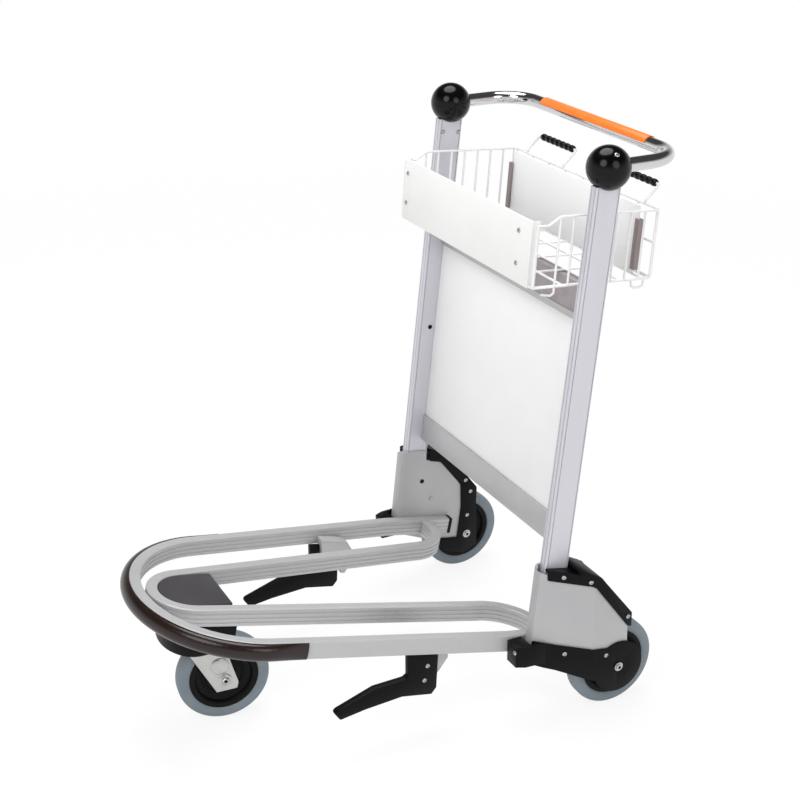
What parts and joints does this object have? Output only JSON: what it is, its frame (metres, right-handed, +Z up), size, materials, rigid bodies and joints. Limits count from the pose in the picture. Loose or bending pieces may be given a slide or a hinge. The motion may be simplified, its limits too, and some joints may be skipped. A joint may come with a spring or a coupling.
{
  "type": "airport luggage trolley",
  "caption": "Three-wheeled airport luggage trolley with a tapered loop base, leaned uprights, back board, wire basket and a press-down brake handle.",
  "frame": {"origin": "on the floor under the middle of the overall box, the wheels standing on z = 0", "axes": "+Z up, -Y towards the nose and the front caster, +Y towards the handle, +X to the left of the person pushing"},
  "size_m": [0.6384, 0.9231, 1.03],
  "materials": {
    "aluminium": "satin anodised",
    "tyre": "matt blue-grey",
    "bumper": "matt dark brown",
    "deck": "matt dark grey",
    "chrome": "polished",
    "label": "orange, plain",
    "white_paint": "white powder coat",
    "white_board": "white sheet",
    "channel": "dull",
    "zinc": "zinc plated",
    "steel": "bright",
    "gloss_black": "gloss black",
    "black_plastic": "satin black"
  },
  "bodies": {
    "frame": {"arm_bracket_left": "aluminium", "arm_bracket_right": "aluminium", "back_board": "white_board", "bag_bail_left": "white_paint", "bag_bail_right": "white_paint", "bail_sleeve_left": "black_plastic", "bail_sleeve_right": "black_plastic", "ball_cap_left": "gloss_black", "ball_cap_right": "gloss_black", "base_inner_rail": "aluminium", "base_outer_rail": "aluminium", "basket_floor_grid": "white_paint", "basket_front_board": "white_paint", "basket_rear_board": "white_paint", "basket_rear_grid": "white_paint", "basket_side_grid_left": "white_paint", "basket_side_grid_right": "white_paint", "board_channel_left": "channel", "board_channel_right": "channel", "brake_pin_left": "steel", "brake_pin_right": "steel", "caster_housing": "black_plastic", "handle_pivot_left": "steel", "handle_pivot_right": "steel", "inner_guard_left": "black_plastic", "inner_guard_right": "black_plastic", "lower_cross_rail": "aluminium", "lower_guard_left": "black_plastic", "lower_guard_right": "black_plastic", "nose_bumper": "bumper", "nose_deck_plate": "deck", "rear_axle_left": "steel", "rear_axle_right": "steel", "rear_bracket_left": "aluminium", "rear_bracket_right": "aluminium", "skid_arm_left": "black_plastic", "skid_arm_right": "black_plastic", "upper_cross_rail": "aluminium", "upper_guard_left": "black_plastic", "upper_guard_right": "black_plastic", "upright_left": "aluminium", "upright_right": "aluminium"},
    "handle": {"handle_tube": "chrome", "handle_label_sleeve": "label", "handle_crank_left": "steel", "handle_crank_right": "steel"},
    "brake_rod_left_body": {"brake_rod_left": "steel"},
    "brake_rod_right_body": {"brake_rod_right": "steel"},
    "brake_lever_left_body": {"brake_lever_left": "steel"},
    "brake_lever_right_body": {"brake_lever_right": "steel"},
    "rear_wheel_left": {"rear_wheel_core_left": "black_plastic", "rear_tyre_left": "tyre"},
    "rear_wheel_right": {"rear_wheel_core_right": "black_plastic", "rear_tyre_right": "tyre"},
    "caster": {"caster_fork": "zinc", "caster_stem": "steel", "front_axle": "steel"},
    "front_wheel": {"front_wheel_core": "black_plastic", "front_tyre": "tyre"}
  },
  "joints": [
    {"name": "handle_press", "type": "hinge", "parent": "frame", "child": "handle", "pos_m": [0, 0.3, 0.993], "axis": [-1, 0, 0], "range_deg": [0, 10], "stiffness_Nm_per_rad": 8, "springref_deg": -28.65},
    {"name": "brake_rod_slide_left", "type": "slide", "parent": "frame", "child": "brake_rod_left_body", "axis": [0, -0.108, -0.9942], "range_m": [0, 0.0018]},
    {"name": "brake_lever_lift_left", "type": "hinge", "parent": "frame", "child": "brake_lever_left_body", "pos_m": [0.262, 0.254, 0.183], "axis": [1, 0, 0], "range_deg": [0, 3.5]},
    {"name": "rear_wheel_spin_left", "type": "hinge", "parent": "frame", "child": "rear_wheel_left", "pos_m": [0.281, 0.3356, 0.083], "axis": [1, 0, 0], "continuous": true},
    {"name": "brake_rod_slide_right", "type": "slide", "parent": "frame", "child": "brake_rod_right_body", "axis": [0, -0.108, -0.9942], "range_m": [0, 0.0018]},
    {"name": "brake_lever_lift_right", "type": "hinge", "parent": "frame", "child": "brake_lever_right_body", "pos_m": [-0.262, 0.254, 0.183], "axis": [1, 0, 0], "range_deg": [0, 3.5]},
    {"name": "rear_wheel_spin_right", "type": "hinge", "parent": "frame", "child": "rear_wheel_right", "pos_m": [-0.281, 0.3356, 0.083], "axis": [1, 0, 0], "continuous": true},
    {"name": "caster_swivel", "type": "hinge", "parent": "frame", "child": "caster", "pos_m": [0, -0.34, 0.18], "axis": [0, 0, 1], "continuous": true},
    {"name": "front_wheel_spin", "type": "hinge", "parent": "caster", "child": "front_wheel", "pos_m": [0.00557, -0.30039, 0.083], "axis": [0.9903, -0.1392, 0], "continuous": true}
  ],
  "couplings": [
    {"joint": "brake_rod_slide_left", "follows": "handle_press", "m_per_rad": 0.01},
    {"joint": "brake_lever_lift_left", "follows": "handle_press", "ratio": 0.34},
    {"joint": "brake_rod_slide_right", "follows": "handle_press", "m_per_rad": 0.01},
    {"joint": "brake_lever_lift_right", "follows": "handle_press", "ratio": 0.34}
  ]
}
